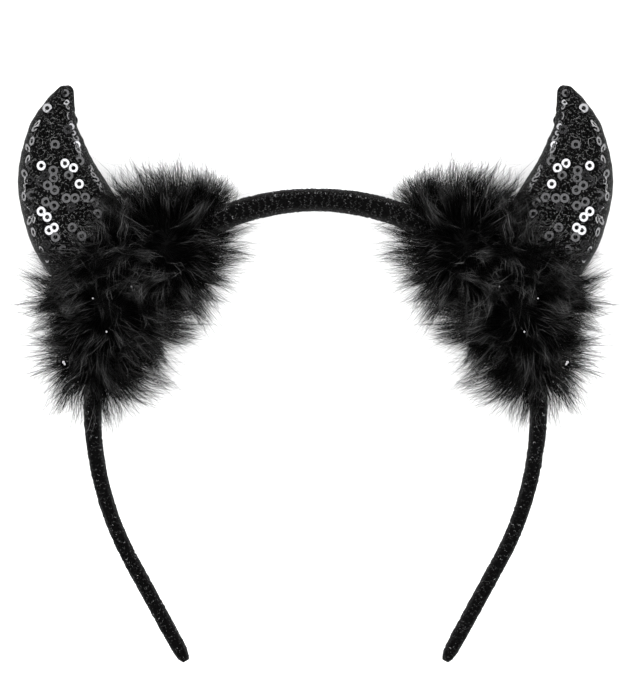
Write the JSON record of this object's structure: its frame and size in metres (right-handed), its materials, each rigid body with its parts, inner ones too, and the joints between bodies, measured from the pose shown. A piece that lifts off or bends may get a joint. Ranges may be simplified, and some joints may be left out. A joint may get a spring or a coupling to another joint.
{
  "type": "devil horns headband",
  "caption": "Padded cloth-covered hairband with stuffed sequinned horns, each rising from a fluffy trim, worn over the head as costume headwear.",
  "frame": {"origin": "middle of the bounding box, on the surface that the headband lies on", "axes": "+X across the head to the viewer's right, +Y from the band's tips to the crown, +Z out of the front, up from the surface"},
  "size_m": [0.1878, 0.182, 0.0347],
  "materials": {
    "band_knit": "black knit with a sparkling thread",
    "horn_cloth": "black net over black cloth with a soft sheen",
    "fluffy_trim": "long soft black hair",
    "sequin": "thin mirror-bright black film"
  },
  "bodies": {
    "root": {"band": "band_knit", "horn_left": "horn_cloth", "horn_right": "horn_cloth", "fur_left": "fluffy_trim", "fur_right": "fluffy_trim"}
  },
  "joints": []
}
